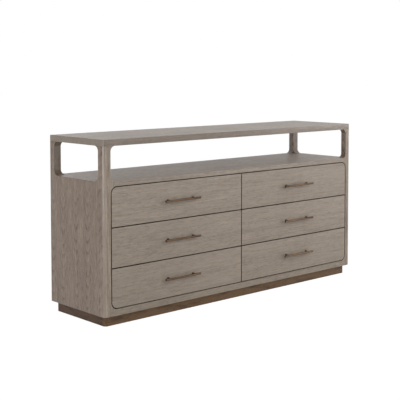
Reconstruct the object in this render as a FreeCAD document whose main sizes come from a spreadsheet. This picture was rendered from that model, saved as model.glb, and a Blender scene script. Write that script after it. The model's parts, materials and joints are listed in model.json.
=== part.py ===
"""A six-drawer oak dresser with an open bay under its top and a recessed plinth.

The frame: X runs along the width, the drawer fronts face -Y, +Z is up. The origin is on the
floor, at the middle of the space that the whole dresser takes, its pulls included.
"""
import FreeCAD, Part
import Sketcher
import os
import re

# Driving dimensions, in millimetres
DIMENSIONS = [
    ("case_width", 1829, "case, side to side"),
    ("case_depth", 459, "case, front to back"),
    ("case_height", 906, "floor to the upper face of the top"),
    ("top_thickness", 32, "top panel"),
    ("bay_height", 172, "clear height of the open bay"),
    ("shelf_thickness", 22, "panel that floors the bay"),
    ("corner_radius", 18, "rounding of the front vertical corners"),
    ("edge_ease", 1.5, "softened arrises of the panels that show"),
    ("post_width", 40, "corner posts, along the width"),
    ("front_post_depth", 47, "front corner posts, along the depth"),
    ("bay_stile_depth", 35, "front corner posts inside the side panels' thickness, within the bay"),
    ("back_post_depth", 36, "back corner posts, along the depth"),
    ("bay_radius", 27, "rounded corners of the bay's windows"),
    ("drawer_radius", 36, "rounded corners of the drawer opening"),
    ("web_edge", 0.5, "thickness left at the thin end of a corner web"),
    ("side_thickness", 22, "side panels"),
    ("plinth_height", 51, "floor to the underside of the case"),
    ("plinth_front_inset", 25, "plinth behind the case front"),
    ("plinth_side_inset", 20, "plinth inside the case sides"),
    ("plinth_back_inset", 29, "plinth in front of the case back"),
    ("plinth_thickness", 20, "plinth boards"),
    ("plinth_radius", 18, "rounding of the plinth's front corners"),
    ("rail_height", 32, "rail under the drawers"),
    ("floor_thickness", 18, "panel that closes the case below"),
    ("partition_thickness", 18, "upright between the two banks of drawers"),
    ("back_thickness", 9, "back panel"),
    ("back_recess", 6, "back panel inside the back of the posts"),
    ("drawer_gap", 4.5, "gap round each drawer front"),
    ("front_thickness", 20, "drawer fronts"),
    ("front_play", 2, "free depth behind the drawer fronts"),
    ("box_thickness", 12, "drawer box sides and ends"),
    ("box_rise", 15, "drawer box above the lower edge of its front"),
    ("box_fall", 30, "drawer box below the upper edge of its front"),
    ("box_clearance", 22, "drawer box in front of the back panel"),
    ("panel_thickness", 6, "drawer bottom"),
    ("panel_rise", 10, "drawer bottom above the lower edge of the box"),
    ("groove_depth", 5, "groove that holds the drawer bottom"),
    ("panel_play", 0.2, "drawer bottom in its groove"),
    ("slide_space", 12.7, "gap beside a drawer box, filled by its slide"),
    ("slide_height", 45, "channel of a drawer slide"),
    ("slide_steel", 1.5, "sheet of the slide members"),
    ("slide_play", 0.5, "running clearance between the slide members"),
    ("slide_relief", 1, "slide channel short of the drawer box"),
    ("packer_height", 60, "packers that bring the outer slides in line with the posts"),
    ("pull_spacing", 168, "legs of a pull, centre to centre"),
    ("pull_overhang", 32, "bar of a pull past the centre of each leg"),
    ("pull_projection", 30, "outermost line of a pull from the drawer front"),
    ("bar_radius", 5.5, "bar of a pull"),
    ("leg_radius", 4.5, "legs of a pull"),
    ("rose_radius", 7, "collar where a leg meets the drawer front"),
    ("rose_thickness", 3, "collar where a leg meets the drawer front"),
    ("screw_radius", 2, "machine screw that holds a pull"),
    ("head_radius", 4, "head of that screw"),
    ("head_height", 2.6, "head of that screw"),
    ("thread_length", 12, "screw inside the leg of a pull"),
    ("bore_reserve", 3, "blind bore past the end of the screw"),
    ("screw_play", 0.3, "screw in the wooden holes"),
    ("thread_play", 0.05, "screw in the leg of a pull"),
    ("foot_radius", 30, "base of a support foot"),
    ("foot_base", 6, "thickness of that base"),
    ("column_radius", 17, "column of a support foot"),
    ("foot_inset", 60, "support feet from the inside of the plinth"),
    ("overrun", 5, "how far a cutting shape runs past what it cuts"),
]
NAMES = {alias for alias, value, note in DIMENSIONS}

ROWS = ("lower", "middle", "upper")
SIDES = ("left", "right")
AXES = ("x", "y", "z")
TURNS = {
    "x": FreeCAD.Rotation(FreeCAD.Vector(0, 1, 0), 90),
    "y": FreeCAD.Rotation(FreeCAD.Vector(1, 0, 0), -90),
    "z": FreeCAD.Rotation(),
}

# Places worked out from the driving dimensions
FRONT = "(pull_projection - case_depth) / 2"
BACK = "(pull_projection + case_depth) / 2"
HALF = "case_width / 2"
TOP_UNDER = "case_height - top_thickness"
BAY_FLOOR = f"{TOP_UNDER} - bay_height"
SHELF_UNDER = f"{BAY_FLOOR} - shelf_thickness"
RAIL_TOP = "plinth_height + rail_height"
FLOOR_TOP = "plinth_height + floor_thickness"
PANEL_FRONT = f"{BACK} - back_recess - back_thickness"
FRONT_WIDTH = f"{HALF} - post_width - 1.5 * drawer_gap"
FRONT_HEIGHT = f"({SHELF_UNDER} - ({RAIL_TOP}) - {len(ROWS) + 1} * drawer_gap) / {len(ROWS)}"
RAIL_BACK = f"{FRONT} + front_thickness + front_play"
BOX_LENGTH = f"{PANEL_FRONT} - ({FRONT}) - front_thickness - box_clearance"
BOX_HEIGHT = f"{FRONT_HEIGHT} - box_rise - box_fall"
SLIDE_LENGTH = f"{BOX_LENGTH} - front_play"
PULL_LENGTH = "pull_spacing + 2 * pull_overhang"
WINDOW_FRONT = f"{FRONT} + front_post_depth"
WINDOW_BACK = f"{BACK} - back_post_depth"
WINDOW_LENGTH = "case_depth - front_post_depth - back_post_depth"
POST_DEPTH = {"front": "front_post_depth", "back": "back_post_depth"}
POST_START = {"front": FRONT, "back": WINDOW_BACK}


def web_reach(radius):
    """How far a corner web runs from its corner, to where it has thinned to web_edge."""
    return f"{radius} - sqrt(2 * {radius} * web_edge - web_edge ^ 2)"


BAY_REACH = web_reach("bay_radius")

doc = FreeCAD.newDocument("dresser")
sheet = doc.addObject("Spreadsheet::Sheet", "dims")
for row, (alias, value, note) in enumerate(DIMENSIONS, start=1):
    sheet.set(f"A{row}", note)
    sheet.set(f"B{row}", str(value))
    sheet.setAlias(f"B{row}", alias)
doc.recompute()

nodes = []


def bind(item, prop, text):
    """Ties a property to an expression that is written in the sheet's own names."""
    def named(match):
        word = match.group()
        return f"dims.{word}" if word in NAMES else word
    item.setExpression(prop, re.sub(r"[a-z_]+", named, text))


def place(item, at):
    for axis, text in zip(AXES, at):
        bind(item, f"Placement.Base.{axis}", text)


def node(item, label):
    """Marks an object as a finished piece of the dresser, under its own name."""
    item.Label = label
    nodes.append(item)
    return item


def box(name, at, size):
    item = doc.addObject("Part::Box", name)
    for prop, text in zip(("Length", "Width", "Height"), size):
        bind(item, prop, text)
    place(item, at)
    return item


def rod(name, axis, at, radius, length):
    """A cylinder that runs from its place along +X, +Y or +Z."""
    item = doc.addObject("Part::Cylinder", name)
    item.Placement = FreeCAD.Placement(FreeCAD.Vector(), TURNS[axis])
    bind(item, "Radius", radius)
    bind(item, "Height", length)
    place(item, at)
    return item


def group(name, items):
    item = doc.addObject("Part::Compound", name)
    item.Links = items
    return item


def fuse(name, items):
    item = doc.addObject("Part::MultiFuse", name)
    item.Shapes = items
    item.Refine = True
    return item


def cut(name, base, tools):
    item = doc.addObject("Part::Cut", name)
    item.Base = base
    item.Tool = group(f"{name}_tools", tools) if len(tools) > 1 else tools[0]
    return item


def mirrored(name, source):
    """The same piece on the other side of the dresser's middle plane."""
    item = doc.addObject("Part::Mirroring", name)
    item.Source = source
    item.Normal = FreeCAD.Vector(1, 0, 0)
    return item


def step(text, sign, length):
    """The lower end of a stretch that starts at a place and runs up or down an axis."""
    return text if sign > 0 else f"{text} - ({length})"


def web(name, axis, corner, signs, start, length, radius):
    """A corner web: a square with a quarter circle scooped out, along one axis.

    corner and signs are given for the other two axes, in their order. The web stops where it
    has thinned to web_edge, just short of the full radius.
    """
    reach = web_reach(radius)
    u, v = [other for other in AXES if other != axis]
    low = {axis: start}
    size = {axis: length, u: reach, v: reach}
    centre = {axis: f"{start} - overrun"}
    for other, text, sign in zip((u, v), corner, signs):
        low[other] = step(text, sign, reach)
        centre[other] = f"{text} + {sign} * {radius}"
    block = box(f"{name}_block", [low[a] for a in AXES], [size[a] for a in AXES])
    scoop = rod(f"{name}_scoop", axis, [centre[a] for a in AXES], radius, f"{length} + 2 * overrun")
    return cut(name, block, [scoop])


def edge_name(shape, axis, ends):
    """The edge that runs along an axis at the low (0) or high (1) end of the other two."""
    bounds = shape.BoundBox
    low = (bounds.XMin, bounds.YMin, bounds.ZMin)
    high = (bounds.XMax, bounds.YMax, bounds.ZMax)
    others = [i for i in range(len(AXES)) if i != axis]
    target = {i: (low, high)[end][i] for i, end in zip(others, ends)}
    for number, edge in enumerate(shape.Edges, start=1):
        points = [vertex.Point for vertex in edge.Vertexes]
        if all(abs(point[i] - target[i]) < Part.Precision.confusion()
               for point in points for i in others) and len(points) == 2:
            return f"Edge{number}"
    raise ValueError(f"no edge along axis {axis} at {ends}")


def face_name(shape, axis, end):
    """The flat face at the low (0) or high (1) end of an axis."""
    bounds = shape.BoundBox
    target = ((bounds.XMin, bounds.YMin, bounds.ZMin), (bounds.XMax, bounds.YMax, bounds.ZMax))[end][axis]
    for number, face in enumerate(shape.Faces, start=1):
        extent = face.BoundBox
        low = (extent.XMin, extent.YMin, extent.ZMin)[axis]
        high = (extent.XMax, extent.YMax, extent.ZMax)[axis]
        if max(abs(low - target), abs(high - target)) < Part.Precision.confusion():
            return f"Face{number}"
    raise ValueError(f"no face at the end of axis {axis}")


def board(name, at, size, rounded=(), radius="corner_radius", eased=()):
    """A panel drawn as a rectangle and padded, with rounded edges and softened faces."""
    body = doc.addObject("PartDesign::Body", name)
    plane = [item for item in body.Origin.OriginFeatures if item.Role == "XY_Plane"][0]
    sketch = body.newObject("Sketcher::SketchObject", f"{name}_outline")
    sketch.AttachmentSupport = [(plane, "")]
    sketch.MapMode = "FlatFace"
    corners = [FreeCAD.Vector(x, y, 0) for x, y in ((0, 0), (1, 0), (1, 1), (0, 1))]
    for here, there in zip(corners, corners[1:] + corners[:1]):
        sketch.addGeometry(Part.LineSegment(here, there), False)
    for line in range(len(corners)):
        sketch.addConstraint(Sketcher.Constraint("Coincident", line, 2, (line + 1) % len(corners), 1))
    sketch.addConstraint(Sketcher.Constraint("Coincident", 0, 1, -1, 1))
    for line in (0, 2):
        sketch.addConstraint(Sketcher.Constraint("Horizontal", line))
    for line in (1, 3):
        sketch.addConstraint(Sketcher.Constraint("Vertical", line))
    along = sketch.addConstraint(Sketcher.Constraint("DistanceX", 0, 1, 0, 2, 1))
    across = sketch.addConstraint(Sketcher.Constraint("DistanceY", 1, 1, 1, 2, 1))
    bind(sketch, f"Constraints[{along}]", size[0])
    bind(sketch, f"Constraints[{across}]", size[1])
    pad = body.newObject("PartDesign::Pad", f"{name}_pad")
    pad.Profile = sketch
    bind(pad, "Length", size[2])
    doc.recompute()
    last = pad
    if rounded:
        rounds = body.newObject("PartDesign::Fillet", f"{name}_rounds")
        rounds.Base = (last, [edge_name(last.Shape, axis, ends) for axis, ends in rounded])
        bind(rounds, "Radius", radius)
        doc.recompute()
        last = rounds
    if eased:
        ease = body.newObject("PartDesign::Fillet", f"{name}_ease")
        ease.Base = (last, [face_name(last.Shape, axis, end) for axis, end in eased])
        bind(ease, "Radius", "edge_ease")
        last = ease
    body.Tip = last
    place(body, at)
    return body


# Top panel
node(board("top", (f"-{HALF}", FRONT, TOP_UNDER), ("case_width", "case_depth", "top_thickness"),
           rounded=[(2, (0, 0)), (2, (1, 0))], eased=[(2, 0), (2, 1)]), "top_panel")


# Corner posts, with the webs that round off the windows and the drawer opening
def window_face(end):
    """The face of a post towards the side window, and the way its webs reach from there."""
    return (WINDOW_FRONT, 1) if end == "front" else (WINDOW_BACK, -1)


def post(name, end):
    """The left post at the front, whose outer edge is rounded, or at the back.

    Where its webs stand on the shelf panel, the post goes through that panel at their full reach.
    Within the bay a front post is L-shaped: a stile, with a strip as thick as the side panel.
    The webs of that strip stand on the side panel.
    """
    start, depth = POST_START[end], POST_DEPTH[end]
    face, way = window_face(end)
    inner = f"-{HALF} + post_width"
    beside = f"-{HALF} + side_thickness"
    stem = board(f"{name}_stem", (f"-{HALF}", start, "plinth_height"),
                 ("post_width", depth, f"{TOP_UNDER} - plinth_height"),
                 rounded=[(2, (0, 0))] if end == "front" else ())
    webs = []
    for word, level, sign in (("crown", TOP_UNDER, -1), ("sill", BAY_FLOOR, 1)):
        webs.append(web(f"{name}_{word}", "y", (inner, level), (1, sign), start, depth, "bay_radius"))
        webs.append(web(f"{name}_side_{word}", "x", (face, level), (way, sign), f"-{HALF}",
                        "post_width", "bay_radius"))
    if end == "front":
        for word, level, sign in (("head", SHELF_UNDER, -1), ("heel", RAIL_TOP, 1)):
            webs.append(web(f"{name}_{word}", "y", (inner, level), (1, sign), start, depth,
                            "drawer_radius"))
    knuckle = box(f"{name}_knuckle", (inner, start, SHELF_UNDER), (BAY_REACH, depth, "shelf_thickness"))
    if end == "back":
        spur = box(f"{name}_spur", (beside, step(face, way, BAY_REACH), SHELF_UNDER),
                   ("post_width - side_thickness", BAY_REACH, "shelf_thickness"))
        return fuse(name, [stem, knuckle, spur] + webs)
    whole = fuse(f"{name}_whole", [stem, knuckle] + webs)
    rebate = box(f"{name}_rebate", (beside, f"{start} + bay_stile_depth", BAY_FLOOR),
                 (f"post_width - side_thickness + {BAY_REACH} + overrun",
                  f"{depth} - bay_stile_depth + {BAY_REACH} + overrun", "bay_height"))
    return cut(name, whole, [rebate])


for end in ("front", "back"):
    left_post = node(post(f"{end}_post", end), f"{end}_left_post")
    node(mirrored(f"{end}_post_mirrored", left_post), f"{end}_right_post")


# Side panels, each one board between two posts
left_side = node(box("side", (f"-{HALF}", WINDOW_FRONT, "plinth_height"),
                     ("side_thickness", WINDOW_LENGTH, f"{BAY_FLOOR} - plinth_height")), "left_side_panel")
node(mirrored("side_mirrored", left_side), "right_side_panel")


# Panels that fit round the posts
def post_notches(name, level, height, reach=None):
    """What the four posts take out of a panel, with what their webs reach beyond them."""
    sections = {}
    for end in ("front", "back"):
        width = f"post_width + {reach}" if reach else "post_width"
        sections[f"{end}_stem"] = (width, POST_START[end], POST_DEPTH[end])
    if reach:
        face, way = window_face("back")
        sections["back_spur"] = ("post_width", step(face, way, reach), reach)
    notches = []
    for word, (width, y, depth) in sections.items():
        for side, x in zip(SIDES, (f"-{HALF}", f"{HALF} - ({width})")):
            notches.append(box(f"{name}_{word}_{side}", (x, y, f"{level} - overrun"),
                               (width, depth, f"{height} + 2 * overrun")))
    return notches


INSIDE = "case_width - 2 * side_thickness"
shelf = box("shelf_blank", (f"-{HALF} + side_thickness", FRONT, SHELF_UNDER),
            (INSIDE, "case_depth", "shelf_thickness"))
shelf_notches = post_notches("shelf_notch", SHELF_UNDER, "shelf_thickness", BAY_REACH)
node(cut("shelf", shelf, shelf_notches), "shelf_panel")

CASE_DEPTH_INSIDE = f"{PANEL_FRONT} - ({RAIL_BACK})"
floor = box("floor_blank", (f"-{HALF} + side_thickness", RAIL_BACK, "plinth_height"),
            (INSIDE, CASE_DEPTH_INSIDE, "floor_thickness"))
node(cut("floor", floor, post_notches("floor_notch", "plinth_height", "floor_thickness")), "bottom_panel")

BETWEEN_POSTS = "case_width - 2 * post_width"
node(box("rail", (f"-{HALF} + post_width", FRONT, "plinth_height"),
         (BETWEEN_POSTS, "front_thickness + front_play", "rail_height")), "bottom_rail")

node(box("back", (f"-{HALF} + post_width", PANEL_FRONT, "plinth_height"),
         (BETWEEN_POSTS, "back_thickness", f"{SHELF_UNDER} - plinth_height")), "back_panel")

node(box("partition", ("-partition_thickness / 2", RAIL_BACK, FLOOR_TOP),
         ("partition_thickness", CASE_DEPTH_INSIDE, f"{SHELF_UNDER} - ({FLOOR_TOP})")),
     "centre_partition")

# Plinth
plinth_width = "case_width - 2 * plinth_side_inset"
node(board("plinth", (f"-{HALF} + plinth_side_inset", f"{FRONT} + plinth_front_inset", "0"),
           (plinth_width, "plinth_thickness", "plinth_height"),
           rounded=[(2, (0, 0)), (2, (1, 0))], radius="min(plinth_radius; plinth_thickness - edge_ease)"),
     "plinth_front")

return_start = f"{FRONT} + plinth_front_inset + plinth_thickness"
return_end = f"{BACK} - plinth_back_inset"
left_return = box("plinth_return", (f"-{HALF} + plinth_side_inset", return_start, "0"),
                  ("plinth_thickness", f"{return_end} - ({return_start})", "plinth_height"))
node(group("plinth_returns", [left_return, mirrored("plinth_return_mirrored", left_return)]),
     "plinth_sides")

PLINTH_INNER = f"{HALF} - plinth_side_inset - plinth_thickness"
node(box("plinth_rear", (f"-({PLINTH_INNER})", f"{return_end} - plinth_thickness", "0"),
         (f"2 * ({PLINTH_INNER})", "plinth_thickness", "plinth_height")), "plinth_back")

# Support feet behind the plinth, under the ends and the middle
feet = []
for column, x in enumerate((f"-({PLINTH_INNER} - foot_inset)", "0", f"{PLINTH_INNER} - foot_inset")):
    for word, y in (("front", f"{return_start} + foot_inset"),
                    ("back", f"{return_end} - plinth_thickness - foot_inset")):
        base = rod(f"foot_base_{word}_{column}", "z", (x, y, "0"), "foot_radius", "foot_base")
        column_rod = rod(f"foot_column_{word}_{column}", "z", (x, y, "0"), "column_radius", "plinth_height")
        feet.append(fuse(f"foot_{word}_{column}", [base, column_rod]))
node(group("feet", feet), "support_feet")


# Drawers
def opening(side):
    """The two upright faces that a drawer's slides are fixed between."""
    if side == "left":
        return f"-{HALF} + post_width", "-partition_thickness / 2"
    return "partition_thickness / 2", f"{HALF} - post_width"


def front_level(row):
    return f"{RAIL_TOP} + drawer_gap + {row} * ({FRONT_HEIGHT} + drawer_gap)"


def slide_level(row):
    """The lower edge of a slide's channel, which is centred on its drawer box."""
    return f"{front_level(row)} + box_rise + ({BOX_HEIGHT} - slide_height) / 2"


RUNNER_HEIGHT = "slide_height - 2 * slide_steel - 2 * slide_play"
RUNNER_DEPTH = "slide_space - slide_steel - slide_play"
CHANNEL_DEPTH = "slide_space - slide_relief"


def channel(name, at, depth, height, wall_low):
    """A length of folded steel, open on the side away from its wall."""
    body = box(f"{name}_bar", at, (depth, SLIDE_LENGTH, height))
    x = f"{at[0]} + slide_steel" if wall_low else f"{at[0]} - slide_steel"
    hollow = box(f"{name}_hollow", (x, f"{at[1]} - overrun", f"{at[2]} + slide_steel"),
                 (depth, f"{SLIDE_LENGTH} + 2 * overrun", f"{height} - 2 * slide_steel"))
    return cut(name, body, [hollow])


def case_slides():
    channels = []
    for side in SIDES:
        low, high = opening(side)
        for row, word in enumerate(ROWS):
            level = slide_level(row)
            name = f"channel_{word}_{side}"
            channels.append(channel(f"{name}_low", (low, RAIL_BACK, level),
                                    CHANNEL_DEPTH, "slide_height", True))
            channels.append(channel(f"{name}_high", (f"{high} - ({CHANNEL_DEPTH})", RAIL_BACK, level),
                                    CHANNEL_DEPTH, "slide_height", False))
    return group("case_slides", channels)


def slide_packers():
    """Packers on the side panels, between the posts, one behind each outer slide."""
    packers = []
    for row, word in enumerate(ROWS):
        level = f"{slide_level(row)} + (slide_height - packer_height) / 2"
        left = box(f"packer_{word}", (f"-{HALF} + side_thickness", WINDOW_FRONT, level),
                   ("post_width - side_thickness", WINDOW_LENGTH, "packer_height"))
        packers += [left, mirrored(f"packer_{word}_mirrored", left)]
    return group("slide_packers", packers)


node(case_slides(), "case_slide_channels")
node(slide_packers(), "slide_packers")


def drawer(row, side):
    """One drawer: its front, box, bottom, pull, screws and the slide members that it carries."""
    name = f"{ROWS[row]}_{side}_drawer"
    low, high = opening(side)
    front_x = f"{low} + drawer_gap" if side == "left" else "drawer_gap / 2"
    front_z = front_level(row)
    middle_x = f"{front_x} + ({FRONT_WIDTH}) / 2"
    middle_z = f"{front_z} + ({FRONT_HEIGHT}) / 2"
    box_low = f"{low} + slide_space"
    box_width = f"({high}) - ({low}) - 2 * slide_space"
    box_front = f"{FRONT} + front_thickness"
    box_z = f"{front_z} + box_rise"

    # Front, whose outer corner follows the rounded drawer opening
    outer = 0 if side == "left" else 1
    corners = {0: [(1, (outer, 0))], len(ROWS) - 1: [(1, (outer, 1))]}.get(row, ())
    blank = board(f"{name}_blank", (front_x, FRONT, front_z),
                  (FRONT_WIDTH, "front_thickness", FRONT_HEIGHT),
                  rounded=corners, radius="drawer_radius - drawer_gap", eased=[(1, 0)])
    legs = [f"{middle_x} - pull_spacing / 2", f"{middle_x} + pull_spacing / 2"]
    holes = [rod(f"{name}_hole_{i}", "y", (x, f"{FRONT} - overrun", middle_z),
                 "screw_radius + screw_play", "front_thickness + box_thickness + 2 * overrun")
             for i, x in enumerate(legs)]
    node(cut(f"{name}_drilled", blank, holes), f"{name}_front")

    # Box, whose four boards are grooved for the bottom
    groove = box(f"{name}_groove",
                 (f"{box_low} + box_thickness - groove_depth",
                  f"{box_front} + box_thickness - groove_depth", f"{box_z} + panel_rise"),
                 (f"{box_width} - 2 * box_thickness + 2 * groove_depth",
                  f"{BOX_LENGTH} - 2 * box_thickness + 2 * groove_depth", "panel_thickness"))
    sides = []
    for word, x in (("low", box_low), ("high", f"{box_low} + {box_width} - box_thickness")):
        plain = box(f"{name}_{word}_side", (x, box_front, box_z),
                    ("box_thickness", BOX_LENGTH, BOX_HEIGHT))
        sides.append(cut(f"{name}_{word}_side_grooved", plain, [groove]))
    node(group(f"{name}_sides", sides), f"{name}_box_sides")
    ends = []
    for word, y, tools in (("front", box_front, [groove] + holes),
                           ("back", f"{box_front} + {BOX_LENGTH} - box_thickness", [groove])):
        plain = box(f"{name}_{word}_end", (f"{box_low} + box_thickness", y, box_z),
                    (f"{box_width} - 2 * box_thickness", "box_thickness", BOX_HEIGHT))
        ends.append(cut(f"{name}_{word}_end_grooved", plain, tools))
    node(group(f"{name}_ends", ends), f"{name}_box_ends")
    node(box(f"{name}_panel",
             (f"{box_low} + box_thickness - groove_depth + panel_play",
              f"{box_front} + box_thickness - groove_depth + panel_play", f"{box_z} + panel_rise"),
             (f"{box_width} - 2 * box_thickness + 2 * groove_depth - 2 * panel_play",
              f"{BOX_LENGTH} - 2 * box_thickness + 2 * groove_depth - 2 * panel_play",
              "panel_thickness - panel_play")), f"{name}_bottom")

    # Pull: a round bar on two legs, tapped for its screws
    bar_y = f"{FRONT} - pull_projection + bar_radius"
    pieces = [rod(f"{name}_bar", "x", (f"{middle_x} - ({PULL_LENGTH}) / 2", bar_y, middle_z),
                  "bar_radius", PULL_LENGTH)]
    bores = []
    screws = []
    for i, x in enumerate(legs):
        pieces.append(rod(f"{name}_leg_{i}", "y", (x, bar_y, middle_z), "leg_radius",
                          "pull_projection - bar_radius"))
        pieces.append(rod(f"{name}_rose_{i}", "y", (x, f"{FRONT} - rose_thickness", middle_z),
                          "rose_radius", "rose_thickness"))
        bores.append(rod(f"{name}_bore_{i}", "y", (x, f"{FRONT} - thread_length - bore_reserve", middle_z),
                         "screw_radius + thread_play", "thread_length + bore_reserve + overrun"))
        shank = rod(f"{name}_shank_{i}", "y", (x, f"{FRONT} - thread_length", middle_z),
                    "screw_radius", "thread_length + front_thickness + box_thickness + head_height")
        head = rod(f"{name}_head_{i}", "y", (x, f"{box_front} + box_thickness", middle_z),
                   "head_radius", "head_height")
        screws.append(fuse(f"{name}_screw_{i}", [shank, head]))
    node(cut(f"{name}_pull_tapped", fuse(f"{name}_pull_cast", pieces), bores), f"{name}_pull")
    node(group(f"{name}_screws", screws), f"{name}_pull_screws")

    # Slide members on the box sides, nested in the channels of the case
    level = f"{slide_level(row)} + slide_steel + slide_play"
    runners = [channel(f"{name}_low_runner", (f"{low} + slide_steel + slide_play", RAIL_BACK, level),
                       RUNNER_DEPTH, RUNNER_HEIGHT, False),
               channel(f"{name}_high_runner", (f"{high} - slide_space", RAIL_BACK, level),
                       RUNNER_DEPTH, RUNNER_HEIGHT, True)]
    node(group(f"{name}_runners", runners), f"{name}_slide_members")


for side in SIDES:
    for row in range(len(ROWS)):
        drawer(row, side)

doc.recompute()

for item in doc.Objects:
    if {"Invalid", "Error"} & set(item.State):
        raise RuntimeError(f"{item.Label} could not be built: {item.State}")
for item in nodes:
    if item.Shape.isNull() or not item.Shape.isValid():
        raise RuntimeError(f"{item.Label} has no valid shape")

os.makedirs("parts", exist_ok=True)
for item in nodes:
    item.Shape.exportStep(f"parts/{item.Label}.step")
    bounds = item.Shape.BoundBox
    print(f"{item.Label}: {len(item.Shape.Solids)} solids, {item.Shape.Volume:.0f} mm3,",
          f"x {bounds.XMin:.1f} {bounds.XMax:.1f}, y {bounds.YMin:.1f} {bounds.YMax:.1f},",
          f"z {bounds.ZMin:.1f} {bounds.ZMax:.1f}")
print(f"{len(nodes)} pieces written")
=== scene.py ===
"""The looks of the oak dresser: washed oak, a bronze plinth, aged brass pulls, and a white studio."""
import bpy
import bmesh
import json
import math
import random
from mathutils import Euler, Matrix, Vector


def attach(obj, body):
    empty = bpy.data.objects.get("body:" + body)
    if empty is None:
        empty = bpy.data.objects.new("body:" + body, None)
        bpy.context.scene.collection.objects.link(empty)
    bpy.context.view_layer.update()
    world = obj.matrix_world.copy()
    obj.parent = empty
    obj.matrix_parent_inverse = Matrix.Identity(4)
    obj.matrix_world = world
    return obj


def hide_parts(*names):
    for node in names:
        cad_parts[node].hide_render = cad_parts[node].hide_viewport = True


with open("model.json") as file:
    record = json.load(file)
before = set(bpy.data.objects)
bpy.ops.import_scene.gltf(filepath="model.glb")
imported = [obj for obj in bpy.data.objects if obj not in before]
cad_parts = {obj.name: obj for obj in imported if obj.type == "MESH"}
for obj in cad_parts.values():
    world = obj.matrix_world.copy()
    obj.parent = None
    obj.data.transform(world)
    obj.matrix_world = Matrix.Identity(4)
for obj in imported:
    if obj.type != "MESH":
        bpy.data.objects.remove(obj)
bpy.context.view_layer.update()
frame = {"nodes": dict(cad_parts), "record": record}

MM = 0.001
NODES = frame["nodes"]
BODIES = frame["record"]["behaviour"]["bodies"]
BODY_OF = {node: body for body, members in BODIES.items() for node in members}


# Camera: an 85 mm lens at chest height, off the dresser's left front corner
PHOTO_PIXELS = 400
FOCAL_PIXELS = 944.43
HORIZON_PIXEL_Y = 120
SENSOR_MM = 36
CAMERA_PLACE = Vector((-3.553, -3.827, 1.256))
CAMERA_YAW_DEG = -41.99
CAMERA_PITCH_DEG = 3.293
CAMERA_ROLL_DEG = -0.054


def set_camera():
    lens = bpy.data.cameras.new("camera")
    lens.sensor_width = SENSOR_MM
    lens.lens = FOCAL_PIXELS / PHOTO_PIXELS * SENSOR_MM
    lens.shift_y = HORIZON_PIXEL_Y / PHOTO_PIXELS - 0.5
    camera = bpy.data.objects.new("camera", lens)
    tilt = Euler((math.radians(90 - CAMERA_PITCH_DEG), 0, math.radians(CAMERA_YAW_DEG)))
    roll = Matrix.Rotation(math.radians(CAMERA_ROLL_DEG), 4, "Z")
    camera.matrix_world = Matrix.Translation(CAMERA_PLACE) @ tilt.to_matrix().to_4x4() @ roll
    bpy.context.scene.collection.objects.link(camera)
    bpy.context.scene.camera = camera


# Materials
def linear(colour):
    """Linear RGBA of an sRGB hex colour."""
    values = [int(colour[i:i + 2], 16) / 255 for i in (1, 3, 5)]
    return [v / 12.92 if v <= 0.04045 else ((v + 0.055) / 1.055) ** 2.4 for v in values] + [1]


def feed(tree, node, inputs):
    """Links an input where it gets a node or a socket, and sets it where it gets a value."""
    for key, value in inputs.items():
        if isinstance(value, bpy.types.Node):
            value = value.outputs[0]
        if isinstance(value, bpy.types.NodeSocket):
            tree.links.new(value, node.inputs[key])
        else:
            node.inputs[key].default_value = value


def add(tree, kind, inputs=None, stops=None, **settings):
    """Adds a node with its settings and feeds its inputs.

    stops are the places of a colour ramp with a grey value or a hex colour for each.
    """
    new = tree.nodes.new(kind)
    for name, value in settings.items():
        setattr(new, name, value)
    feed(tree, new, inputs or {})
    if stops:
        ramp = new.color_ramp.elements
        while len(ramp) < len(stops):
            ramp.new(0.5)
        for element, (place, value) in zip(ramp, stops):
            element.position = place
            element.color = linear(value) if isinstance(value, str) else [value, value, value, 1]
    return new


def new_material(name):
    material = bpy.data.materials.new(name)
    material.use_nodes = True
    tree = material.node_tree
    tree.nodes.clear()
    shader = add(tree, "ShaderNodeBsdfPrincipled")
    add(tree, "ShaderNodeOutputMaterial", {"Surface": shader})
    return material, tree, shader


def draw_marks(tree, grain, place, marks):
    """Soft marks of a real width and length, drawn out along the grain."""
    width_mm, length_mm, detail, roughness = marks
    scale = [1 / (width_mm * MM)] * 3
    scale["xyz".index(grain)] = 1 / (length_mm * MM)
    stretched = add(tree, "ShaderNodeMapping", {"Vector": place, "Scale": scale})
    return add(tree, "ShaderNodeTexNoise", {"Vector": stretched, "Scale": 1, "Detail": detail,
                                            "Roughness": roughness})


# Marks in the finishes: their width and length in mm, then how much finer detail they hold and how
# rough it is. The veneer's pores, the lines of the brush and the plastic's grit are drawn coarser than
# real ones, so that they show
TRUNK_WAVES = (60, 420, 1, 0.5)
FIBRE_WAVES = (9, 40, 2, 0.5)
WASHED_PATCHES = (17, 130, 2, 0.5)
PORES = (0.8, 14, 1, 0.5)
FIBRES = (4, 170, 4, 0.65)
MOTTLE = (11, 46, 2, 0.6)
BANDS = (30, 700, 2, 0.5)
CLOUDS = (150, 420, 2, 0.5)
BIRCH_LINES = (6, 150, 5, 0.5)
BIRCH_FLECKS = (0.7, 5, 1, 0.5)
BRUSH_LINES = (1.2, 60, 3, 0.7)
METAL_CLOUDS = (28, 110, 4, 0.6)
SPARK_GRIT = (0.6, 0.6, 2, 0.5)

# Oak veneer: the width of a year's ring and of a leaf, how far the leaves slip, how much the heart
# leans, and how far the waves push the rings. The rings are a little wider than real ones, to show
RING_MM = 3.4
LEAF_MM = 105
SLIP_MM = 90
HEART_LEAN = 0.06
SWAY_MM = 3.5
JITTER_MM = 1.2

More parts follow.
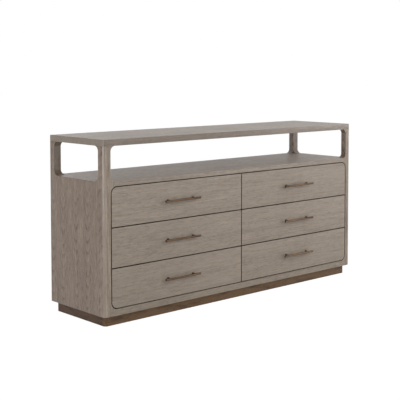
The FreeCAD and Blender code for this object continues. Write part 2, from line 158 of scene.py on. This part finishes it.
# A ring from its open spring wood to its dense late wood, where the wash left the pores dark, and
# what makes a pore; then how the tone changes from year to year
RING_STOPS = [(0, 0.3), (0.12, 1), (0.4, 0.35), (1, 0)]
PATCH_STOPS = [(0.4, 0.12), (0.7, 1)]
PORE_STOPS = [(0.52, 0), (0.64, 1)]
YEARS_SCALE = 0.3
YEARS_DETAIL = 2
YEARS_ROUGHNESS = 0.6

# Pores in the late wood of a plain board, the pores' relief, and how the gloss follows the tone
LATE_WOOD_PORE_SHARE = 0.35
PORE_HOLLOW_SHARE = 0.8
PORE_DEPTH_MM = 0.1
PORE_RELIEF = 0.5
DARK_GLOSS_LOSS = 0.12
LIGHT_GLOSS_GAIN = 0.06

# What moves the veneer's tone: the mark's mean, its share on a plain board, and what a full figure
# adds to that share. Where a mark is strong, a negative share darkens the wood, a positive lightens it
TONE_SHARES = {
    "flecks": (0.12, 0, -0.6),
    "years": (0.5, 0, -0.3),
    "pores": (0.1, -0.65, 0),
    "fibres": (0.5, 0.75, 0.25),
    "mottle": (0.5, 0.48, 0),
    "bands": (0.5, 0.25, 0),
    "clouds": (0.5, 0.25, 0),
    "leaf": (0.5, 0.03, 0),
}


def lay_leaves(tree, run, across, depth):
    """Lays the veneer in book-matched leaves: every second one mirrors its neighbour.

    Each leaf has also slipped a little along its neighbour, and gets a random shade of its own.
    """
    folded = add(tree, "ShaderNodeMath", {0: across, 1: LEAF_MM * MM}, operation="PINGPONG")
    folded = add(tree, "ShaderNodeMath", {0: folded, 1: LEAF_MM / 2 * MM}, operation="SUBTRACT")
    leaf = add(tree, "ShaderNodeMath", {0: across, 1: LEAF_MM * MM}, operation="DIVIDE")
    leaf = add(tree, "ShaderNodeMath", {0: leaf}, operation="FLOOR")
    leaf = add(tree, "ShaderNodeTexWhiteNoise", {"W": leaf}, noise_dimensions="1D")
    run = add(tree, "ShaderNodeMath", {0: leaf, 1: SLIP_MM * MM, 2: run}, operation="MULTIPLY_ADD")
    place = add(tree, "ShaderNodeCombineXYZ", {"X": run, "Y": folded, "Z": depth})
    return run, folded, leaf, place


def count_rings(tree, run, folded, depth, leaf_place):
    """Counts the year rings from the heart outwards: the count grows by one with each year.

    The trunk's slow waves and the fibres' small ones push the rings about.
    """
    sway = draw_marks(tree, "x", leaf_place, TRUNK_WAVES)
    jitter = draw_marks(tree, "x", leaf_place, FIBRE_WAVES)
    bend = add(tree, "ShaderNodeMath", {0: sway, 1: 2 * SWAY_MM * MM, 2: -SWAY_MM * MM},
               operation="MULTIPLY_ADD")
    bend = add(tree, "ShaderNodeMath", {0: jitter, 1: 2 * JITTER_MM * MM, 2: bend},
               operation="MULTIPLY_ADD")
    leaned = add(tree, "ShaderNodeMath", {0: run, 1: HEART_LEAN, 2: depth}, operation="MULTIPLY_ADD")
    spot = add(tree, "ShaderNodeCombineXYZ", {"X": folded, "Y": leaned})
    radius = add(tree, "ShaderNodeVectorMath", {0: spot}, operation="LENGTH").outputs["Value"]
    radius = add(tree, "ShaderNodeMath", {0: radius, 1: bend}, operation="ADD")
    return add(tree, "ShaderNodeMath", {0: radius, 1: 1 / (RING_MM * MM)}, operation="MULTIPLY")


def mix_tone(tree, parts, figure):
    """Each part of the figure moves the middle tone by its own share."""
    tone = 0.5
    for name, (mean, plain_share, figure_share) in TONE_SHARES.items():
        share = plain_share + figure_share * figure
        level = add(tree, "ShaderNodeMath", {0: parts[name], 1: mean}, operation="SUBTRACT")
        tone = add(tree, "ShaderNodeMath", {0: level, 1: share, 2: tone}, operation="MULTIPLY_ADD")
    return tone


def washed_oak(name, axes, light, middle, dark, roughness, figure):
    """Flat-cut oak veneer, brushed, washed grey and lacquered satin.

    axes names the board's directions: along the grain, across its face and into its thickness.
    The rings are cylinders round a heart that lies behind the face and leans a little, so they
    come to the face as long arches, with straight lines beside them. Each ring begins with a band
    of open pores, and the wash left those dark only here and there. So the eye gets a calm grey
    face with scattered dark flecks that follow the arches.
    figure says how strongly the rings show: fully on the plain-sawn uprights, less elsewhere.
    """
    material, tree, shader = new_material(name)
    grain = axes[0]
    place = add(tree, "ShaderNodeTexCoord").outputs["Object"]
    heart = add(tree, "ShaderNodeAttribute", attribute_name="heart").outputs["Vector"]
    local = add(tree, "ShaderNodeVectorMath", {0: place, 1: heart}, operation="SUBTRACT")
    ways = add(tree, "ShaderNodeSeparateXYZ", {"Vector": local})
    run, across, depth = [ways.outputs["xyz".index(axis)] for axis in axes]
    run, folded, leaf, leaf_place = lay_leaves(tree, run, across, depth)

    rings = count_rings(tree, run, folded, depth, leaf_place)
    ring = add(tree, "ShaderNodeMath", {0: rings}, operation="FRACT")
    early = add(tree, "ShaderNodeValToRGB", {"Fac": ring}, stops=RING_STOPS)
    years = add(tree, "ShaderNodeTexNoise", {"W": rings, "Scale": YEARS_SCALE, "Detail": YEARS_DETAIL,
                                             "Roughness": YEARS_ROUGHNESS}, noise_dimensions="1D")
    patches = draw_marks(tree, "x", leaf_place, WASHED_PATCHES)
    patches = add(tree, "ShaderNodeValToRGB", {"Fac": patches}, stops=PATCH_STOPS)
    flecks = add(tree, "ShaderNodeMath", {0: early, 1: patches}, operation="MULTIPLY")
    pores = draw_marks(tree, grain, local, PORES)
    pores = add(tree, "ShaderNodeValToRGB", {"Fac": pores}, stops=PORE_STOPS)
    ringed = add(tree, "ShaderNodeMath", {0: early, 1: figure, 2: LATE_WOOD_PORE_SHARE * (1 - figure)},
                 operation="MULTIPLY_ADD")
    pores = add(tree, "ShaderNodeMath", {0: pores, 1: ringed}, operation="MULTIPLY")

    parts = {"flecks": flecks, "years": years, "pores": pores, "leaf": leaf}
    for part, marks in (("fibres", FIBRES), ("mottle", MOTTLE), ("bands", BANDS), ("clouds", CLOUDS)):
        parts[part] = draw_marks(tree, grain, local, marks)
    tone = mix_tone(tree, parts, figure)
    colour = add(tree, "ShaderNodeValToRGB", {"Fac": tone}, stops=[(0, dark), (0.5, middle), (1, light)])
    sheen = add(tree, "ShaderNodeMapRange", {"Value": tone, "To Min": roughness + DARK_GLOSS_LOSS,
                                             "To Max": roughness - LIGHT_GLOSS_GAIN})
    hollow = add(tree, "ShaderNodeMath", {0: pores, 1: PORE_HOLLOW_SHARE, 2: early},
                 operation="MULTIPLY_ADD")
    relief = add(tree, "ShaderNodeBump", {"Height": hollow, "Distance": PORE_DEPTH_MM * MM,
                                          "Strength": PORE_RELIEF}, invert=True)
    feed(tree, shader, {"Base Color": colour, "Roughness": sheen, "Normal": relief})
    return material


# Birch: between which strengths of its marks the tone falls from light to dark, and its surface
BIRCH_LIGHT_STOP = 0.42
BIRCH_DARK_STOP = 0.85
BIRCH_FLECK_SHARE = 0.25
BIRCH_DEPTH_MM = 0.05
BIRCH_RELIEF = 0.4
BIRCH_ROUGHNESS = 0.45


def lacquered_birch(name, grain, light, dark):
    """Sanded birch under clear lacquer: pale and close-grained, with faint long streaks."""
    material, tree, shader = new_material(name)
    place = add(tree, "ShaderNodeTexCoord").outputs["Object"]
    lines = draw_marks(tree, grain, place, BIRCH_LINES)
    flecks = draw_marks(tree, grain, place, BIRCH_FLECKS)
    tone = add(tree, "ShaderNodeMath", {0: flecks, 1: BIRCH_FLECK_SHARE, 2: lines},
               operation="MULTIPLY_ADD")
    colour = add(tree, "ShaderNodeValToRGB", {"Fac": tone},
                 stops=[(BIRCH_LIGHT_STOP, light), (BIRCH_DARK_STOP, dark)])
    relief = add(tree, "ShaderNodeBump", {"Height": tone, "Distance": BIRCH_DEPTH_MM * MM,
                                          "Strength": BIRCH_RELIEF})
    feed(tree, shader, {"Base Color": colour, "Roughness": BIRCH_ROUGHNESS, "Normal": relief})
    return material


# Brushed metal: where its tones lie in the sum of its two marks, and how far its gloss varies
METAL_DARK_STOP = 0.8
METAL_LIGHT_STOP = 1
METAL_ROUGH_TONE = 0.7
METAL_SMOOTH_TONE = 1.3
METAL_ROUGHNESS_SPREAD = 0.06
BRUSH_DEPTH_MM = 0.03
BRUSH_RELIEF = 0.5


def brushed_metal(name, grain, light, dark, roughness, metallic):
    """Metal, or a metallic lacquer, with fine lines left by the brush along one axis."""
    material, tree, shader = new_material(name)
    place = add(tree, "ShaderNodeTexCoord").outputs["Object"]
    lines = draw_marks(tree, grain, place, BRUSH_LINES)
    clouds = draw_marks(tree, grain, place, METAL_CLOUDS)
    tone = add(tree, "ShaderNodeMath", {0: lines, 1: clouds}, operation="ADD")
    colour = add(tree, "ShaderNodeValToRGB", {"Fac": tone},
                 stops=[(METAL_DARK_STOP, dark), (METAL_LIGHT_STOP, light)])
    sheen = add(tree, "ShaderNodeMapRange", {"Value": tone,
                                             "From Min": METAL_ROUGH_TONE,
                                             "From Max": METAL_SMOOTH_TONE,
                                             "To Min": roughness + METAL_ROUGHNESS_SPREAD,
                                             "To Max": roughness - METAL_ROUGHNESS_SPREAD})
    relief = add(tree, "ShaderNodeBump", {"Height": lines, "Distance": BRUSH_DEPTH_MM * MM,
                                          "Strength": BRUSH_RELIEF})
    feed(tree, shader, {"Base Color": colour, "Roughness": sheen, "Normal": relief,
                        "Metallic": metallic})
    return material


# Moulded plastic: where its tones lie in the grit, and its surface
GRIT_DARK_STOP = 0.3
GRIT_LIGHT_STOP = 0.7
GRIT_DEPTH_MM = 0.05
GRIT_ROUGHNESS = 0.6


def moulded_plastic(name, light, dark):
    """Moulded black plastic with a fine spark-eroded texture, which keeps it from shining."""
    material, tree, shader = new_material(name)
    place = add(tree, "ShaderNodeTexCoord").outputs["Object"]
    grit = draw_marks(tree, "x", place, SPARK_GRIT)
    shade = add(tree, "ShaderNodeValToRGB", {"Fac": grit},
                stops=[(GRIT_DARK_STOP, dark), (GRIT_LIGHT_STOP, light)])
    relief = add(tree, "ShaderNodeBump", {"Height": grit, "Distance": GRIT_DEPTH_MM * MM})
    feed(tree, shader, {"Base Color": shade, "Roughness": GRIT_ROUGHNESS, "Normal": relief})
    return material


# Each oak has a light, a middle and a dark tone, a roughness and a share of figure. A metal has a light
# and a dark tone, a roughness and how metallic it is
UPRIGHT_OAK = washed_oak("washed_oak_upright", "zyx", "#A4917F", "#837162", "#523A2C", 0.23, 1)
# The uprights' faces that look forward take a yellower, slightly paler copy of the upright oak, and
# those that look sideways stay redder: a painted tint of the light from the front and the left.
FRONT_LIGHT_TINT_OAK = washed_oak("washed_oak_front_faces_painted_light_tint", "zyx", "#A59786", "#847668", "#533D2F", 0.23, 1)
# Paler wood on the posts' rounded front corners: a painted highlight along each corner.
CORNER_HIGHLIGHT_OAK = washed_oak("washed_oak_corners_painted_highlight", "zyx", "#B3A697", "#928376", "#605046", 0.25, 0.3)
FRONT_OAK = washed_oak("washed_oak_drawer_fronts", "xzy", "#A49687", "#887C6F", "#655548", 0.42, 0.2)
RAIL_OAK = washed_oak("washed_oak_bottom_rail", "xzy", "#9D907F", "#827668", "#615143", 0.42, 0.2)
TOP_OAK = washed_oak("washed_oak_top", "xyz", "#BEB0A4", "#9E9288", "#74685F", 0.46, 0.3)
# The shelf's veneer is paler than the top's: painted light in the bay under the top. The side panels'
# top edges share it.
LIT_SHELF_OAK = washed_oak("washed_oak_shelf_painted_light", "xyz", "#C8BAAE", "#A89C92", "#7C7067", 0.46, 0.3)
EDGE_OAK = washed_oak("washed_oak_edge_bands", "xzy", "#8E7F71", "#74685C", "#53483F", 0.3, 0.05)
# A near-black veneer for the drawer fronts' edges: painted shade in the gaps between the drawers.
GAP_SHADE_OAK = washed_oak("painted_shade_oak_gap_edges", "xzy", "#3A322B", "#2C2620", "#1E1A16", 0.6, 0.05)
BOX_SIDE_BIRCH = lacquered_birch("lacquered_birch_lengthways", "y", "#DCC6A2", "#C4A67C")
BOX_END_BIRCH = lacquered_birch("lacquered_birch_crossways", "x", "#DCC6A2", "#C4A67C")
STAINED_PLY = lacquered_birch("stained_plywood", "z", "#83766A", "#665A4F")
BRONZE = brushed_metal("bronze_lacquer_brushed", "x", "#5C442C", "#3A2817", 0.5, 0.5)
# The plinth's side boards are brushed lengthways and darker than the front: painted shade on the sides.
SHADED_SIDE_BRONZE = brushed_metal("bronze_lacquer_brushed_side_painted_shade", "y", "#4C3420", "#2D1C0D", 0.5, 0.5)
BRASS = brushed_metal("aged_brass_brushed", "x", "#65503F", "#423226", 0.38, 1.0)
ZINC = brushed_metal("zinc_plated_steel", "y", "#C8CACC", "#A9ABAE", 0.3, 1.0)
BLACK_PLASTIC = moulded_plastic("moulded_black_plastic", "#232323", "#151515")


# Dressed pieces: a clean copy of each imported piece. Drawer boxes and pulls get softened arrises
ARRIS_MM = 0.8
ARRIS_SEGMENTS = 2
SMOOTH_DEG = 32
FLAT_DEG = 0.5
MERGE_M = 1e-6


def dress(node, material, arris_mm=0):
    """A merged and smoothed copy of a node's mesh, which stands for the node."""
    bm = bmesh.new()
    bm.from_mesh(NODES[node].data)
    bmesh.ops.remove_doubles(bm, verts=bm.verts[:], dist=MERGE_M)
    bmesh.ops.dissolve_limit(bm, angle_limit=math.radians(FLAT_DEG), verts=bm.verts[:],
                             edges=bm.edges[:])
    mesh = bpy.data.meshes.new(node + "_dressed")
    bm.to_mesh(mesh)
    bm.free()
    piece = bpy.data.objects.new(node + "_dressed", mesh)
    bpy.context.scene.collection.objects.link(piece)
    mesh.materials.append(material)
    for polygon in mesh.polygons:
        polygon.use_smooth = True
    mesh.set_sharp_from_angle(angle=math.radians(SMOOTH_DEG))
    if arris_mm:
        bevel = piece.modifiers.new("arris", "BEVEL")
        bevel.width = arris_mm * MM
        bevel.segments = ARRIS_SEGMENTS
        bevel.limit_method = "ANGLE"
        bevel.angle_limit = math.radians(SMOOTH_DEG)
        bevel.harden_normals = True
    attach(piece, BODY_OF[node])
    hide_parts(node)
    return piece


# The heart of the log that a board's veneer was cut from: how far it lies behind the face, and how
# its place varies. A seed picks each board's own stretch of the log
UPRIGHT_HEART_M = 0.16
TOP_HEART_M = -0.2
SHELF_HEART_M = -0.18
RAIL_HEART_M = 0.1
BACK_HEART_M = -0.15
FRONT_HEART_M = 0.15
HEART_RUN_M = 2
HEART_LEAVES = (0.5, 1.5, 2.5)
HEART_OFF_CENTRE_M = 0.008
HEART_DEPTH_SHARES = (0.8, 1.3)
UPRIGHT_SEEDS = {"front_left_post": 80, "front_right_post": 81, "back_left_post": 82,
                 "back_right_post": 83, "left_side_panel": 4, "right_side_panel": 5}
TOP_SEED = 20
SHELF_SEED = 21
RAIL_SEED = 30
BACK_SEED = 31
FIRST_FRONT_SEED = 40


def set_heart(piece, axes, depth_m, seed):
    """Stores where the heart of the log lies behind a board, the same for all its points.

    axes are the board's directions, as in washed_oak, and depth_m is the way to the heart.
    """
    draw = random.Random(seed)
    low, high = [Vector([pick(v.co[i] for v in piece.data.vertices) for i in range(3)])
                 for pick in (min, max)]
    heart = (low + high) / 2
    run, across, depth = ["xyz".index(axis) for axis in axes]
    heart[run] += draw.uniform(-HEART_RUN_M, HEART_RUN_M)
    leaf_middle = LEAF_MM * MM * draw.choice(HEART_LEAVES)
    heart[across] += leaf_middle + draw.uniform(-HEART_OFF_CENTRE_M, HEART_OFF_CENTRE_M)
    heart[depth] += depth_m * draw.uniform(*HEART_DEPTH_SHARES)
    store = piece.data.attributes.new("heart", "FLOAT_VECTOR", "POINT")
    store.data.foreach_set("vector", list(heart) * len(piece.data.vertices))


# The share of a face's normal along an axis from which it counts as facing that way or leaning to it
FACING_SHARE = 0.7
LEANING_SHARE = 0.1


def lay_strip(piece, material, wanted):
    """Gives the faces of a board whose normal is wanted their own strip of veneer."""
    piece.data.materials.append(material)
    strip = len(piece.data.materials) - 1
    for polygon in piece.data.polygons:
        if wanted(polygon.normal):
            polygon.material_index = strip
    return piece


def band_edges(piece, ways, material):
    """Lays strips of veneer on the faces of a board that look along some axes."""
    places = ["xyz".index(way) for way in ways]
    return lay_strip(piece, material, lambda normal: max(abs(normal[i]) for i in places) > FACING_SHARE)


def paint_corner_highlight(piece, material):
    """Gives the upright rounded corner of a post a paler wood: a painted highlight along the corner."""
    def rounded(normal):
        return min(abs(normal.x), abs(normal.y)) > LEANING_SHARE and abs(normal.z) < LEANING_SHARE
    lay_strip(piece, material, rounded)


def dress_uprights():
    for node, seed in UPRIGHT_SEEDS.items():
        inward = 1 if "left" in node else -1
        # Faces that look forward get the yellower copy, a painted tint of light.
        board = band_edges(dress(node, UPRIGHT_OAK), "y", FRONT_LIGHT_TINT_OAK)
        if node.endswith("panel"):
            band_edges(board, "z", LIT_SHELF_OAK)
        else:
            paint_corner_highlight(board, CORNER_HIGHLIGHT_OAK)
        set_heart(board, "zyx", inward * UPRIGHT_HEART_M, seed)


def dress_case():
    dress_uprights()
    top = band_edges(dress("top_panel", TOP_OAK), "y", EDGE_OAK)
    # The top's ends take the paler drawer-front veneer rather than the edge bands: painted light on the
    # ends.
    set_heart(band_edges(top, "x", FRONT_OAK), "xyz", TOP_HEART_M, TOP_SEED)
    shelf = band_edges(dress("shelf_panel", LIT_SHELF_OAK), "xy", FRONT_OAK)
    set_heart(shelf, "xyz", SHELF_HEART_M, SHELF_SEED)
    set_heart(dress("bottom_rail", RAIL_OAK), "xzy", RAIL_HEART_M, RAIL_SEED)
    set_heart(dress("back_panel", FRONT_OAK), "xzy", BACK_HEART_M, BACK_SEED)
    for node in ("bottom_panel", "centre_partition", "slide_packers"):
        dress(node, STAINED_PLY)
    for node in ("plinth_front", "plinth_back"):
        dress(node, BRONZE)
    dress("plinth_sides", SHADED_SIDE_BRONZE)
    dress("case_slide_channels", ZINC)
    dress("support_feet", BLACK_PLASTIC)


def dress_drawers():
    drawers = sorted(body for body in BODIES if body.endswith("drawer"))
    for seed, drawer in enumerate(drawers, FIRST_FRONT_SEED):
        # The fronts' edges that face into the gaps get the near-black veneer, painted shade in the gaps.
        front = band_edges(dress(drawer + "_front", FRONT_OAK), "xz", GAP_SHADE_OAK)
        set_heart(front, "xzy", FRONT_HEART_M, seed)
        dress(drawer + "_box_sides", BOX_SIDE_BIRCH, ARRIS_MM)
        dress(drawer + "_box_ends", BOX_END_BIRCH, ARRIS_MM)
        dress(drawer + "_bottom", BOX_END_BIRCH, ARRIS_MM)
        dress(drawer + "_pull", BRASS, ARRIS_MM)
        dress(drawer + "_pull_screws", ZINC)
        dress(drawer + "_slide_members", ZINC)


# Studio: the dome lights the dresser softly, and the camera sees it and the floor as white
WHITE = (1, 1, 1, 1)
DOME_STRENGTH = 0.29
FLOOR_REACH_M = 30
FLOOR_PAPER = "#E8E8E8"
FLOOR_ROUGHNESS = 0.9
FLOOR_GLOW = 1.06
FLOOR_SHADOW_SHARE = 0.07


def sees_backdrop(tree):
    """1 for the camera and for reflections, which see the backdrop as plain white, and otherwise 0."""
    rays = add(tree, "ShaderNodeLightPath").outputs
    seen = add(tree, "ShaderNodeMath", {0: rays["Is Camera Ray"], 1: rays["Is Glossy Ray"]},
               operation="MAXIMUM")
    return add(tree, "ShaderNodeMath", {0: seen, 1: rays["Is Transmission Ray"]}, operation="MAXIMUM")


def hang_backdrop():
    world = bpy.data.worlds.new("studio")
    world.use_nodes = True
    tree = world.node_tree
    tree.nodes.clear()
    soft = add(tree, "ShaderNodeBackground", {"Color": WHITE, "Strength": DOME_STRENGTH})
    white = add(tree, "ShaderNodeBackground", {"Color": WHITE, "Strength": 1})
    seen = sees_backdrop(tree)
    mixed = add(tree, "ShaderNodeMixShader", {0: seen, 1: soft, 2: white})
    add(tree, "ShaderNodeOutputWorld", {"Surface": mixed})
    bpy.context.scene.world = world


def lay_floor():
    """A paper floor that glows white for the camera and keeps a trace of the dresser's shadow."""
    bm = bmesh.new()
    bmesh.ops.create_grid(bm, x_segments=1, y_segments=1, size=FLOOR_REACH_M)
    mesh = bpy.data.meshes.new("floor")
    bm.to_mesh(mesh)
    bm.free()
    floor = bpy.data.objects.new("floor", mesh)
    bpy.context.scene.collection.objects.link(floor)
    material, tree, shader = new_material("white_paper_floor")
    feed(tree, shader, {"Base Color": linear(FLOOR_PAPER), "Roughness": FLOOR_ROUGHNESS})
    glow = add(tree, "ShaderNodeEmission", {"Color": WHITE, "Strength": FLOOR_GLOW})
    seen = sees_backdrop(tree)
    share = add(tree, "ShaderNodeMath", {0: seen, 1: 1 - FLOOR_SHADOW_SHARE}, operation="MULTIPLY")
    mixed = add(tree, "ShaderNodeMixShader", {0: share, 1: shader, 2: glow})
    output = [node for node in tree.nodes if node.type == "OUTPUT_MATERIAL"][0]
    feed(tree, output, {"Surface": mixed})
    mesh.materials.append(material)


def add_softbox(name, place, target, size, watts):
    light = bpy.data.lights.new(name, "AREA")
    light.shape = "RECTANGLE"
    light.size, light.size_y = size
    light.energy = watts
    holder = bpy.data.objects.new(name, light)
    facing = (Vector(target) - Vector(place)).to_track_quat("-Z", "Y")
    holder.matrix_world = Matrix.Translation(place) @ facing.to_matrix().to_4x4()
    bpy.context.scene.collection.objects.link(holder)


# Softboxes: place, the spot they face, width and height, all in metres, and watts
SOFTBOXES = {
    "high_softbox": ((0.5, -4.5, 3.2), (0.2, 0, 0.4), (3.0, 2.0), 100),
    "front_softbox": ((1.2, -6.0, 1.0), (0.2, 0, 0.4), (3.0, 2.0), 36),
    "right_softbox": ((4.2, -2.6, 1.5), (0.8, -0.2, 0.5), (1.6, 1.6), 48),
    "left_softbox": ((-4.6, -2.4, 1.0), (-0.6, 0, 0.5), (1.6, 1.6), 6),
    "low_left_softbox": ((-3.6, -0.4, 0.4), (-0.9, -0.2, 0.45), (2.6, 0.7), 23),
    "rear_softbox": ((-0.5, 4.2, 1.9), (0, 0, 0.8), (5.0, 1.6), 32),
}


def light_dresser():
    for name, (place, target, size, watts) in SOFTBOXES.items():
        add_softbox(name, place, target, size, watts)


set_camera()
dress_case()
dress_drawers()
hang_backdrop()
lay_floor()
light_dresser()
bpy.context.scene.view_settings.view_transform = "Standard"
